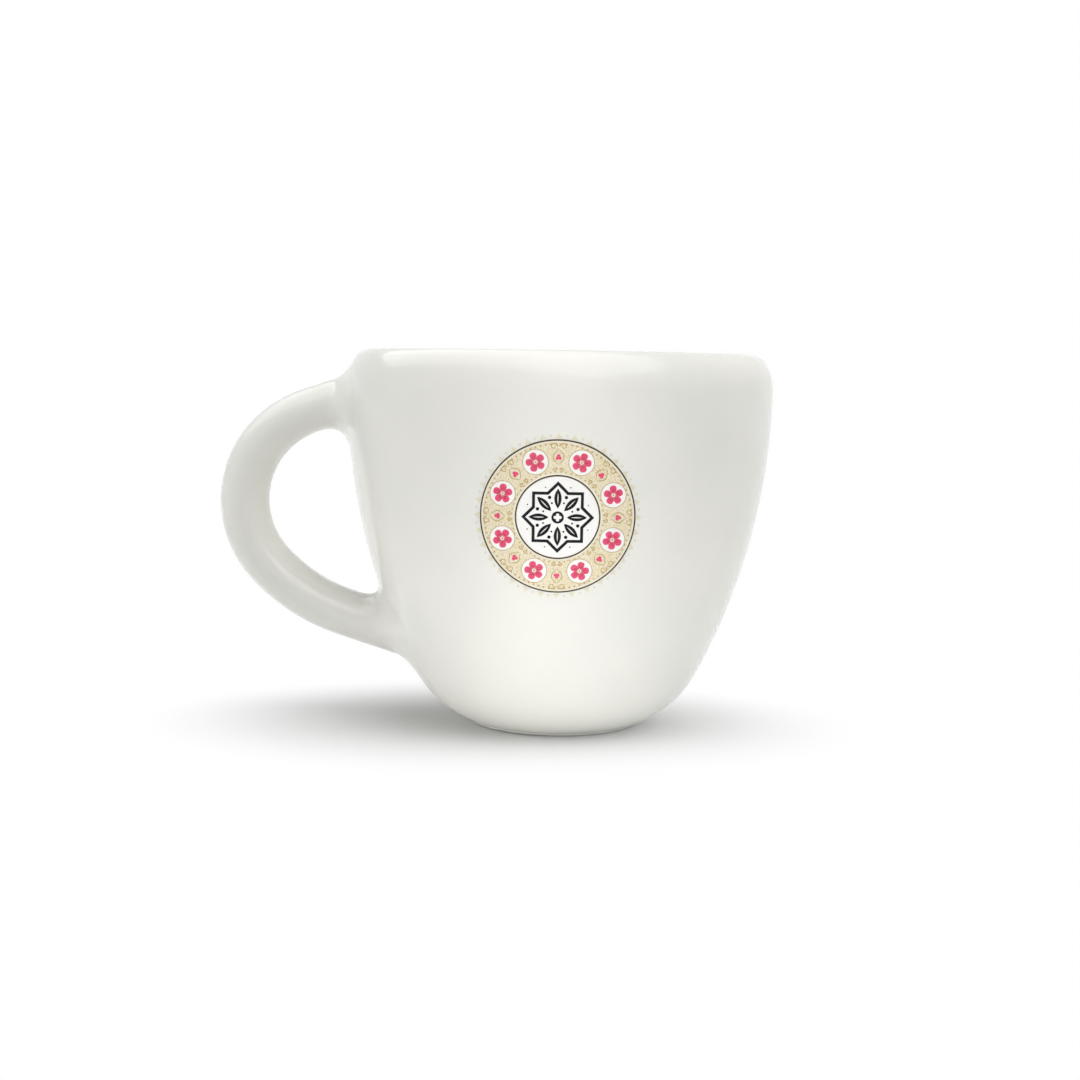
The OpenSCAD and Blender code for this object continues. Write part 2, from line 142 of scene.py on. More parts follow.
class ShapeTree(Nodes):
    """A Geometry Nodes tree with named inputs, which ends in one plain mesh of one material."""

    def __init__(self, name: str, sizes: Mapping[str, float | int]) -> None:
        """Starts the tree.

        Args:
            name: Name of the tree.
            sizes: Named inputs with the values they start from; whole numbers make whole inputs.
        """
        super().__init__(bpy.data.node_groups.new(name, "GeometryNodeTree"))
        numbers = {label: "Int" if isinstance(size, int) else "Float" for label, size in sizes.items()}
        self.identifiers: dict[str, str] = {}
        for label, kind in {"Geometry": "Geometry", **numbers, "Material": "Material"}.items():
            item = self.tree.interface.new_socket(label, in_out="INPUT", socket_type=f"NodeSocket{kind}")
            self.identifiers[label] = item.identifier
            if label in sizes:
                item.default_value = sizes[label]
        self.tree.interface.new_socket("Geometry", in_out="OUTPUT", socket_type="NodeSocketGeometry")
        self.given = self.add("NodeGroupInput").outputs

    def here(self) -> NodeSocket:
        """Place of the point at hand."""
        return self.first("GeometryNodeInputPosition")

    def leg(self, long: Value, leg: Value) -> NodeSocket:
        """The other leg of a right triangle, from its longest side and one leg."""
        rest = self.math("SUBTRACT", self.math("MULTIPLY", long, long), self.math("MULTIPLY", leg, leg))
        return self.math("SQRT", rest)

    def sheet(self, source: NodeSocket, around: Value) -> tuple[NodeSocket, NodeSocket, NodeSocket]:
        """Adds a sheet of points that is rolled round the points of a source mesh.

        Args:
            source: The source mesh.
            around: Number of points round each point of the source.

        Returns:
            The sheet, each point's angle round in radians, and the number of its source point.
        """
        count = self.first("GeometryNodeAttributeDomainSize", {0: source}, component="MESH")
        sides = {"Size X": 1.0, "Size Y": 1.0}
        points = {"Vertices X": self.math("ADD", around, 1.0), "Vertices Y": self.math("ADD", count, 1.0)}
        grid = self.first("GeometryNodeMeshGrid", {**sides, **points})
        place = self.parted(self.here())
        row = self.math("ROUND", self.math("MULTIPLY", self.math("ADD", place[1], 0.5), count))
        angle = self.math("MULTIPLY", self.math("ADD", place[0], 0.5), math.tau)
        return grid, angle, self.math("MODULO", row, count)

    def sampled(self, source: NodeSocket, value: NodeSocket, number: NodeSocket, kind: str) -> NodeSocket:
        """A value of a kind, read at a numbered point of a source mesh."""
        inputs = {"Geometry": source, "Value": value, "Index": number}
        return self.first("GeometryNodeSampleIndex", inputs, data_type=kind, domain="POINT")

    def close(self, shape: NodeSocket) -> None:
        """Ends the tree: smooth but for edges past SHARP_ANGLE radians, made real, and of one material.

        Args:
            shape: The mesh.
        """
        smooth = self.first("GeometryNodeSetShadeSmooth", {0: shape}, domain="FACE")
        sharp = self.math("GREATER_THAN", self.first("GeometryNodeInputMeshEdgeAngle"), SHARP_ANGLE)
        edged = self.first("GeometryNodeSetShadeSmooth", {0: smooth, 1: sharp, 2: False}, domain="EDGE")
        real = self.first("GeometryNodeRealizeInstances", {0: edged})
        dressed = self.first("GeometryNodeSetMaterial", {0: real, 2: self.given["Material"]})
        self.add("NodeGroupOutput", {0: dressed})

    def close_sheet(self, sheet: NodeSocket, places: NodeSocket) -> None:
        """Ends the tree of a rolled sheet: its points go to their places and its seams are welded."""
        shaped = self.first("GeometryNodeSetPosition", {0: sheet, 2: places})
        self.close(self.first("GeometryNodeMergeByDistance", {0: shaped, 2: self.given["Weld"]}))

    def grow(self, source: Object, name: str, material: Material, sizes: Mapping[str, Value]) -> Object:
        """Runs the tree on a source object, which it uses up.

        Args:
            source: The object that the tree starts from.
            name: Name of the finished piece.
            material: Finish of the piece.
            sizes: Values of named inputs that differ from the tree's own.

        Returns:
            The result as an object with a plain mesh.
        """
        modifier = source.modifiers.new("shape", "NODES")
        modifier.node_group = self.tree
        for label, value in {**sizes, "Material": material}.items():
            modifier[self.identifiers[label]] = value
        graph = bpy.context.evaluated_depsgraph_get()
        mesh = bpy.data.meshes.new_from_object(source.evaluated_get(graph), depsgraph=graph)
        bpy.data.objects.remove(source)
        mesh.name = name
        return placed(name, mesh)


def placed(name: str, mesh: Mesh) -> Object:
    """Makes an object at the origin for a mesh.

    Args:
        name: Name of the object.
        mesh: Its mesh.

    Returns:
        The object, linked to the scene.
    """
    piece = bpy.data.objects.new(name, mesh)
    bpy.context.scene.collection.objects.link(piece)
    return piece


def line_mesh(name: str, lines: Sequence[Rows]) -> Object:
    """Makes an object of bare edges.

    Args:
        name: Name of the object.
        lines: Closed lines, as rows of points in metres.

    Returns:
        The object.
    """
    points: list[list[float]] = []
    edges: list[tuple[int, int]] = []
    for line in lines:
        first, count = len(points), len(line)
        points += line.tolist()
        edges += [(first + i, first + (i + 1) % count) for i in range(count)]
    mesh = bpy.data.meshes.new(name)
    mesh.from_pydata(points, edges, [])
    return placed(name, mesh)


def settle(piece: Object, slot: Slot, *nodes: str) -> None:
    """Lets a piece ride on the mug, hides the CAD nodes it stands for, and reports it.

    Args:
        piece: The finished piece.
        slot: Material slot it takes its finish from; not used.
        nodes: CAD nodes that it replaces.
    """
    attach(piece, BODY)
    if nodes:
        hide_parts(*nodes)
    size = " x ".join(f"{side / MM:.1f}" for side in piece.dimensions)
    LOG.info("%s: %d faces, %s mm", piece.name, len(piece.data.polygons), size)


def colour(code: str) -> tuple[float, ...]:
    """Red, green, blue and alpha in linear light, from six hexadecimal digits."""
    parts = [int(code[i:i + 2], 16) / 255 for i in (0, 2, 4)]
    return (*(p / 12.92 if p <= 0.04045 else ((p + 0.055) / 1.055) ** 2.4 for p in parts), 1.0)


class Finish(Nodes):
    """A material in the making: nodes round one Principled shader, on the piece's own coordinates."""

    def __init__(self, name: str, **sockets: Value) -> None:
        """Starts the material.

        Args:
            name: Name of the material.
            sockets: Values for the shader's own sockets, with _ for a space.
        """
        self.material = bpy.data.materials.new(name)
        self.material.use_nodes = True
        super().__init__(self.material.node_tree)
        self.shader = self.tree.nodes["Principled BSDF"]
        for key, value in sockets.items():
            self.shader.inputs[key.replace("_", " ")].default_value = value
        self.place = self.add("ShaderNodeTexCoord").outputs["Object"]

    def noise(self, scale: float, detail: float = 2.0, rough: float = 0.5) -> NodeSocket:
        """Noise about 0.5, by its features per metre and the number and strength of its finer layers."""
        inputs = {"Vector": self.place, "Scale": scale, "Detail": detail, "Roughness": rough}
        return self.first("ShaderNodeTexNoise", inputs)

    def spread(self, value: Value, span: Pair, to: Pair) -> NodeSocket:
        """A value brought from one range to another, and kept inside it."""
        return self.first("ShaderNodeMapRange", dict(enumerate((value, *span, *to))), clamp=True)

    def mixed(self, share: NodeSocket, a: Value, b: Value) -> NodeSocket:
        """Two colours mixed, by the share of the second."""
        return self.add("ShaderNodeMix", {0: share, 6: a, 7: b}, data_type="RGBA").outputs[2]

    def specks(self, scale: float, share: float, size: float) -> NodeSocket:
        """Scatters small round specks.

        Args:
            scale: Cells per metre.
            share: Share of the cells that hold a speck.
            size: Radius of a speck, as a share of a cell.

        Returns:
            1 in a speck and 0 elsewhere, with a soft edge.
        """
        cell = self.add("ShaderNodeTexVoronoi", {"Vector": self.place, "Scale": scale, "Randomness": 1.0})
        near = self.spread(cell.outputs["Distance"], (size * 0.6, size), DOWN)
        pick = self.first("ShaderNodeSeparateColor", {0: cell.outputs["Color"]})
        return self.math("MULTIPLY", near, self.math("LESS_THAN", pick, share))

    def dress(self, base: NodeSocket, rough: NodeSocket, height: NodeSocket, depth: float) -> Material:
        """Gives the shader its colour, roughness and relief.

        Args:
            base: The colour.
            rough: The roughness.
            height: Height of the relief, from 0 to 1.
            depth: Depth of the relief in metres.

        Returns:
            The finished material.
        """
        relief = self.first("ShaderNodeBump", {"Strength": 1.0, "Distance": depth, "Height": height})
        for name, value in (("Base Color", base), ("Roughness", rough), ("Normal", relief)):
            self.tree.links.new(value, self.shader.inputs[name])
        return self.material


@dataclass(frozen=True)
class GlazeFinish:
    """White gloss glaze, fired: a faintly warm coat with a soft skin and a rare pinhole."""

    main: str = "f1f0e9"
    thick: str = "ecece6"
    pinhole: str = "b9b2a2"
    cloud_scale: float = 34.0
    hole_scale: float = 120.0
    hole_share: float = 0.012
    hole_size: float = 0.045
    wear_scale: float = 70.0
    gloss: float = 0.09
    satin: float = 0.16
    wave_scale: float = 95.0
    hole_shade: float = 0.7
    hole_depth: float = 0.4
    skin_depth: float = 0.000012

    def material(self) -> Material:
        """Builds the glaze's material.

        Returns:
            The material.
        """
        finish = Finish("white_gloss_glaze", IOR=1.5)
        cloud = finish.spread(finish.noise(self.cloud_scale, 3.0), NARROW, UP)
        white = finish.mixed(cloud, colour(self.main), colour(self.thick))
        dots = finish.specks(self.hole_scale, self.hole_share, self.hole_size)
        holed = finish.mixed(finish.math("MULTIPLY", dots, self.hole_shade), white, colour(self.pinhole))
        wear = finish.spread(finish.noise(self.wear_scale), BROAD, (self.gloss, self.satin))
        waves = finish.noise(self.wave_scale, 1.0, 0.35)
        skin = finish.math("SUBTRACT", waves, finish.math("MULTIPLY", dots, self.hole_depth))
        return finish.dress(holed, wear, skin, self.skin_depth)


@dataclass(frozen=True)
class ClayFinish:
    """Fired clay without glaze: dry, finely grained, rubbed grey where it stands."""

    main: str = "e9e4d8"
    grain: str = "d8d0bf"
    iron: str = "9a8467"
    rubbed: str = "b7b1a5"
    grain_scale: float = 2600.0
    iron_scale: float = 900.0
    iron_share: float = 0.05
    iron_size: float = 0.3
    iron_shade: float = 0.6
    rub_scale: float = 260.0
    rub_height: float = 0.00012
    rub_span: Pair = (0.42, 0.62)
    rub_shade: float = 0.75
    dryness: Pair = (0.82, 0.96)
    grain_depth: float = 0.00003

    def material(self) -> Material:
        """Builds the clay's material.

        Returns:
            The material.
        """
        finish = Finish("dry_fired_clay", IOR=1.45)
        fine = finish.noise(self.grain_scale, 4.0, 0.65)
        body = finish.mixed(finish.spread(fine, NARROW, UP), colour(self.main), colour(self.grain))
        dots = finish.specks(self.iron_scale, self.iron_share, self.iron_size)
        body = finish.mixed(finish.math("MULTIPLY", dots, self.iron_shade), body, colour(self.iron))
        low = finish.spread(finish.parted(finish.place)[2], (0.0, self.rub_height), DOWN)
        patch = finish.spread(finish.noise(self.rub_scale, 3.0, 0.7), self.rub_span, (0.0, self.rub_shade))
        rubbed = finish.mixed(finish.math("MULTIPLY", low, patch), body, colour(self.rubbed))
        return finish.dress(rubbed, finish.spread(fine, BROAD, self.dryness), fine, self.grain_depth)


@dataclass(frozen=True)
class FiredColour:
    """A coat of printed enamel, fired onto the glaze: a little mottled, with a soft gloss."""

    name: str
    main: str
    light: str
    shine: float = 0.5
    mottle: float = 0.35
    mottle_span: Pair = (0.38, 0.62)
    gloss: float = 0.2
    satin: float = 0.36
    broad_scale: float = 420.0
    fine_scale: float = 5200.0
    skin_depth: float = 0.000004

    @cache
    def material(self) -> Material:
        """Builds the enamel's material, once.

        Returns:
            The material.
        """
        finish = Finish(self.name, IOR=1.5, Specular_IOR_Level=self.shine)
        broad, fine = finish.noise(self.broad_scale), finish.noise(self.fine_scale, 2.0, 0.6)
        blend = finish.math("ADD", finish.math("MULTIPLY", broad, 0.5), finish.math("MULTIPLY", fine, 0.5))
        share = finish.spread(blend, self.mottle_span, (0.0, self.mottle))
        base = finish.mixed(share, colour(self.main), colour(self.light))
        wear = finish.spread(fine, BROAD, (self.gloss, self.satin))
        return finish.dress(base, wear, fine, self.skin_depth)


@dataclass(frozen=True)
class BandFinish:
    """The gold enamel of the band: a fine fired network of pale lines over tan, with deeper grains."""

    main: str = "e1d1a5"
    pale: str = "f3ecd9"
    deep: str = "c3ab72"
    cells: float = 2100.0
    line_span: Pair = (0.0425, 0.1275)
    line_shade: Pair = (0.85, 0.0)
    grain_span: Pair = (0.12, 0.24)
    grain_shade: Pair = (0.75, 0.0)
    cloud_shade: Pair = (0.0, 0.35)
    gloss: float = 0.2
    satin: float = 0.36
    warp: Triple = (0.0005, 0.0005, 0.0005)
    warp_scale: float = 900.0
    cloud_scale: float = 300.0
    wear_scale: float = 3000.0
    line_depth: float = 0.000006

    def material(self) -> Material:
        """Builds the band's material.

        Returns:
            The material.
        """
        finish = Finish("pale_gold_enamel", IOR=1.5)
        eddy = {"Vector": finish.place, "Scale": self.warp_scale, "Detail": 1.0}
        stir = finish.add("ShaderNodeTexNoise", eddy).outputs[1]
        place = finish.vector("ADD", finish.place, finish.vector("MULTIPLY", stir, self.warp))
        cell = {"Vector": place, "Scale": self.cells}
        edge, heart = (finish.add("ShaderNodeTexVoronoi", cell, feature=feature).outputs["Distance"]
                       for feature in ("DISTANCE_TO_EDGE", "F1"))
        lines = finish.spread(edge, self.line_span, self.line_shade)
        grains = finish.spread(heart, self.grain_span, self.grain_shade)
        cloud = finish.spread(finish.noise(self.cloud_scale), BROAD, self.cloud_shade)
        body = finish.mixed(cloud, colour(self.main), colour(self.pale))
        netted = finish.mixed(lines, body, colour(self.pale))
        wear = finish.spread(finish.noise(self.wear_scale), BROAD, (self.gloss, self.satin))
        return finish.dress(finish.mixed(grains, netted, colour(self.deep)), wear, lines, self.line_depth)


def polar(r: Value, turn: Rows) -> Rows:
    """Points in a plane, by their distance from the middle and their angle in radians."""
    return np.stack([r * np.cos(turn), r * np.sin(turn)], 1)


def arc(centre: Pair, half: Pair, start: float, end: float, step: float) -> Rows:
    """Points of an arc in a plane, by its middle, half-axes, two angles and largest step in degrees."""
    count = max(2, math.ceil(abs(end - start) / step)) + 1
    return np.array(centre) + np.array(half) * polar(1.0, np.radians(np.linspace(start, end, count)))


def other_leg(long: float, leg: Rows) -> Rows:
    """The other leg of a right triangle, or 0 where the given leg is too long."""
    return np.sqrt(np.clip(long ** 2 - leg ** 2, 0, None))


@dataclass
class CupShape:
    """Turned section of the cup."""

    cup_d: float = 94.4
    cup_h: float = 83.0
    wall_curve_r: float = 138.5
    base_curve_r: float = 24.0
    wall_t: float = 6.4
    floor_t: float = 7.0
    inside_curve_r: float = 17.5
    rim_round_h: float = 7.9
    rim_inner_r: float = 1.65
    foot_flat_h: float = 1.0
    foot_ring_w: float = 3.6
    foot_well_h: float = 1.4
    foot_well_run: float = 0.8
    dry_edge_h: float = 0.5
    glaze_t: float = 0.3

    def __post_init__(self) -> None:
        """Derives the rim's round, and the middles of the curves by radius and height."""
        self.widest_z: float = self.cup_h - self.rim_round_h
        self.crest_r: float = self.cup_d / 2 - self.wall_t + self.rim_inner_r
        self.rim_round_w: float = self.cup_d / 2 - self.crest_r
        self.wall_centre: Pair = (self.cup_d / 2 - self.wall_curve_r, self.widest_z)
        self.base_centre: Pair = self.resting(self.wall_curve_r, self.base_curve_r, -self.foot_flat_h)
        self.base_join: float = self.join(self.base_centre)
        inside_wall_r = self.wall_curve_r - self.wall_t
        self.inside_centre: Pair = self.resting(inside_wall_r, self.inside_curve_r, self.floor_t)

    def resting(self, big_r: float, r: float, low: float) -> Pair:
        """Middle of a round that rests on a height, inside a curve about the wall's middle."""
        z = low + r
        return self.wall_centre[0] + math.sqrt((big_r - r) ** 2 - (self.widest_z - z) ** 2), z

    def join(self, centre: Pair) -> float:
        """Angle in degrees at which a round about a middle meets the wall's long curve."""
        return math.degrees(math.atan2(centre[1] - self.widest_z, centre[0] - self.wall_centre[0]))

    def outside(self, grown: float, start: float, step: float) -> Rows:
        """Outside of the cup, from a height near the table up to the crest.

        Args:
            grown: Growth of the skin outwards.
            start: Height of the first point.
            step: Step in degrees on the rounds.

        Returns:
            Rows of radius and height.
        """
        base, r, wall = self.base_centre, self.base_curve_r + grown, self.wall_curve_r + grown
        first = math.degrees(math.asin((start - base[1]) / r))
        rim = (self.rim_round_w + grown, self.rim_round_h + grown)
        return np.concatenate([
            arc(base, (r, r), first, self.base_join, step),
            arc(self.wall_centre, (wall, wall), self.base_join, 0, step / 2)[1:],
            arc((self.crest_r, self.widest_z), rim, 0, 90, step * 2)[1:],
        ])

    def inside(self, grown: float, step: float) -> Rows:
        """Inside of the cup, from the crest down to the middle of the floor.

        Args:
            grown: Growth of the hollow.
            step: Step in degrees on the rounds.

        Returns:
            Rows of radius and height.
        """
        edge, wall = self.rim_inner_r - grown, self.wall_curve_r - self.wall_t + grown
        base, r = self.inside_centre, self.inside_curve_r + grown
        join = self.join(base)
        return np.concatenate([
            arc((self.crest_r, self.cup_h - self.rim_inner_r), (edge, edge), 90, 180, step * 4)[1:],
            arc(self.wall_centre, (wall, wall), 0, join, step / 2),
            arc(base, (r, r), join, -90, step)[1:],
            np.stack([np.linspace(base[0], 0.0, 8)[1:], np.full(7, self.floor_t - grown)], 1),
        ])

    def by_height(self, z: Rows, rim: Rows, wall: Rows, low: Rows, grown: float = 0.0) -> Rows:
        """Picks the rim's, the wall's or the base's value at each height."""
        join_z = self.base_centre[1] + (self.base_curve_r + grown) * math.sin(math.radians(self.base_join))
        return np.where(z > self.widest_z, rim, np.where(z > join_z, wall, low))

    def skin_r(self, z: Rows, grown: float = 0.0) -> Rows:
        """Radius of the outside at a height.

        Args:
            z: Heights.
            grown: Growth of the skin outwards.

        Returns:
            Radii.
        """
        rise, base = z - self.widest_z, self.base_centre
        rim = (self.rim_round_w + grown) * other_leg(1.0, rise / (self.rim_round_h + grown))
        wall = other_leg(self.wall_curve_r + grown, rise)
        low = other_leg(self.base_curve_r + grown, z - base[1])
        return self.by_height(z, self.crest_r + rim, self.wall_centre[0] + wall, base[0] + low, grown)

    def on_skin(self, y: Rows, z: Rows, grown: float = 0.0) -> Rows:
        """Points on the outside at a depth and height, on the handle's side, counted positive."""
        return np.stack([np.sqrt(self.skin_r(z, grown) ** 2 - y ** 2), y, z], -1)

    def skin_normal(self, p: Rows) -> Rows:
        """Outward normals at points on the outside, by the lean of the section there.

        Args:
            p: Points.

        Returns:
            Unit normals.
        """
        z, rise = p[..., 2], p[..., 2] - self.widest_z
        across = (self.skin_r(z) - self.crest_r) / self.rim_round_w ** 2
        rim = np.arctan2(rise / self.rim_round_h ** 2, across)
        wall = np.arcsin(np.clip(rise / self.wall_curve_r, -1, 1))
        low = np.arcsin(np.clip((z - self.base_centre[1]) / self.base_curve_r, -1, 1))
        lean = self.by_height(z, rim, wall, low)
        level = np.cos(lean) / np.hypot(p[..., 0], p[..., 1])
        return np.stack([p[..., 0] * level, p[..., 1] * level, np.sin(lean)], -1)


def wheel_tree() -> ShapeTree:
    """Builds the tree that turns a closed outline round the cup's axis.

    Returns:
        The tree. Its source is a mesh of points in the XZ plane, in order round the outline.
    """
    tree = ShapeTree("turned_on_the_wheel", {"Segments": 180, "Weld": 0.000002})
    outline = tree.given["Geometry"]
    sheet, angle, number = tree.sheet(outline, tree.given["Segments"])
    point = {"Vector": tree.sampled(outline, tree.here(), number, "FLOAT_VECTOR"), "Angle": angle}
    tree.close_sheet(sheet, tree.first("ShaderNodeVectorRotate", point, rotation_type="Z_AXIS"))
    return tree


@dataclass
class Cup:
    """The cup: clay body and one coat of glaze, outside, over the rim and inside."""

    shape: CupShape
    glaze: Material
    clay: Material
    step: float = 1.2
    hidden_step: float = 5.0
    bead_points: int = 7
    foot_soft: float = 0.35

    def bead(self, foot: Rows, clay: Rows) -> Rows:
        """Rounded edge of the glaze above the dry foot.

        Args:
            foot: Lowest point of the glaze's skin.
            clay: Point of the clay behind it.

        Returns:
            Points from the clay's side to the outside.
        """
        middle, arm = (foot + clay) / 2, (foot - clay) / 2
        down = np.array([arm[1], -arm[0]]) * np.sign(arm[0])
        turn = np.linspace(math.pi, 0, self.bead_points)[1:-1, None]
        return middle + arm * np.cos(turn) + down * np.sin(turn)

    def glaze_outline(self) -> Rows:
        """Outlines the coat of glaze.

        Returns:
            Rows of radius and height, up the outside, down the inside and back along the clay.
        """
        s, g = self.shape, self.shape.glaze_t
        skin_out = s.outside(0.0, s.dry_edge_h + g / 2, self.step)
        back_out = s.outside(-g, s.dry_edge_h + g / 2, self.hidden_step)[::-1]
        skin_in, back_in = s.inside(0.0, self.step), s.inside(g, self.hidden_step)[::-1]
        return np.concatenate([skin_out, skin_in, back_in, back_out, self.bead(skin_out[0], back_out[-1])])

    def clay_outline(self) -> Rows:
        """Outlines the clay, with a softened foot ring and its well.

        Returns:
            Rows of radius and height, from the well outwards, up and down the inside.
        """
        s, soft, step = self.shape, self.foot_soft, self.hidden_step / 2
        foot_r = s.outside(-s.glaze_t, 0.0, step)[0][0]
        well_r = foot_r - s.foot_ring_w
        run_r = well_r - s.foot_well_run
        ring = np.array([
            [0.0, s.foot_well_h], [run_r - 2 * soft, s.foot_well_h],
            [run_r - soft / 2, s.foot_well_h - soft / 3], [well_r - soft, soft],
            [well_r - soft / 4, soft / 5], [well_r + soft / 2, 0.0], [foot_r - soft, 0.0],
        ])
        skin = s.outside(-s.glaze_t, soft / 2, step)
        return np.concatenate([ring, skin, s.inside(s.glaze_t, self.hidden_step)])

    def build(self) -> None:
        """Builds and settles the glaze and the clay of the cup."""
        tree = wheel_tree()
        for name, outline, finish, slot, node in (
            ("cup_glaze_coat", self.glaze_outline(), self.glaze, Slot.GLAZE, "cup_glaze"),
            ("cup_clay_body", self.clay_outline(), self.clay, Slot.CLAY, "cup_body"),
        ):
            points = np.stack([outline[:, 0], np.zeros(len(outline)), outline[:, 1]], 1) * MM
            settle(tree.grow(line_mesh(name, [points]), name, finish, {}), slot, node)


@dataclass(frozen=True)
class Station:
    """A place on the handle's middle line, on the handle's side, counted positive."""

    u: float
    z: float
    heading: float
    run: float

    def turned(self, r: float, turn: float) -> "Station":
        """The station after a turn to the right.

        Args:
            r: Radius of the bend.
            turn: Its angle in degrees.

        Returns:
            The later station.
        """
        a, b = math.radians(self.heading), math.radians(self.heading - turn)
        u = self.u + r * (math.sin(a) - math.sin(b))
        z = self.z - r * (math.cos(a) - math.cos(b))
        return Station(u, z, self.heading - turn, self.run + r * math.radians(turn))

    @property
    def along(self) -> Rows:
        """Direction along the middle line."""
        a = math.radians(self.heading)
        return np.array([math.cos(a), 0.0, math.sin(a)])

    def moved(self, run: float) -> "Station":
        """The station after a straight run."""
        d = self.along
        return Station(self.u + d[0] * run, self.z + d[2] * run, self.heading, self.run + run)


@dataclass
class HandleShape:
    """Middle line, section and joints of the handle. Shares are of the cup's height."""

    cup: CupShape
    root_drop_share: float = 0.1313
    root_run_share: float = 0.0988
    top_bend_share: float = 0.33
    back_bend_share: float = 0.2542
    tail_bend_share: float = 0.4675
    top_thickness_share: float = 0.1185
    low_thickness_share: float = 0.127
    swell_share: float = 0.007
    handle_width_share: float = 0.1566
    root_slope: float = 18.7
    top_bend_angle: float = 13.0
    back_bend_angle: float = 100.0
    tail_bend_angle: float = 30.5
    upper_rise_share: float = 0.042
    upper_fall_share: float = 0.1
    lower_rise_share: float = 0.088
    lower_fall_share: float = 0.052
    side_share: float = 0.13
    outer_grip_share: float = 0.03
    inner_grip_share: float = 0.085
    round_points: int = 72
    bend_step: float = 2.0

    def length(self, share: float) -> float:
        """Length of a share of the cup's height."""
        return self.cup.cup_h * share

    def stations(self) -> list[Station]:
        """Walks the middle line.

        Returns:
            Stations from the upper root's bend to the lower root's.
        """
        z = self.cup.cup_h * (1 - self.root_drop_share)
        slope, run = math.radians(self.root_slope), self.length(self.root_run_share)
        u = float(self.cup.skin_r(np.array(z))) + run * math.cos(slope)
        line = [Station(u, z - run * math.sin(slope), -self.root_slope, run)]
        for share, angle in (
            (self.top_bend_share, self.top_bend_angle),
            (self.back_bend_share, self.back_bend_angle),
            (self.tail_bend_share, self.tail_bend_angle),
        ):
            start, steps = line[-1], math.ceil(angle / self.bend_step)
            line += [start.turned(self.length(share), angle * i / steps) for i in range(1, steps + 1)]
        return line

    def half_t(self, station: Station, whole_run: float) -> float:
        """Half thickness at a station, which stays level beyond both roots.

        Args:
            station: Where.
            whole_run: Run of the whole middle line.

        Returns:
            The half thickness.
        """
        done = min(station.run, whole_run) / whole_run
        top, low = self.top_thickness_share, self.low_thickness_share
        swell = self.swell_share * math.sin(math.pi * done) ** 2
        return self.length(top + (low - top) * done + swell) / 2

    @property
    def angles(self) -> Rows:
        """Angles round the section. The outer side of the handle is at 0."""
        return np.arange(self.round_points) * math.tau / self.round_points

    def section(self, station: Station, half_t: float, grown: float) -> Rows:
        """Points round the section at a station.

        Args:
            station: Where.
            half_t: Half thickness there.
            grown: Growth of the skin outwards.

        Returns:
            The points.
        """
        t = (half_t + grown) * np.cos(self.angles)
        side = (self.length(self.handle_width_share) / 2 + grown) * np.sin(self.angles)
        a = math.radians(station.heading)
        return np.stack([station.u - t * math.sin(a), side, station.z + t * math.cos(a)], 1)


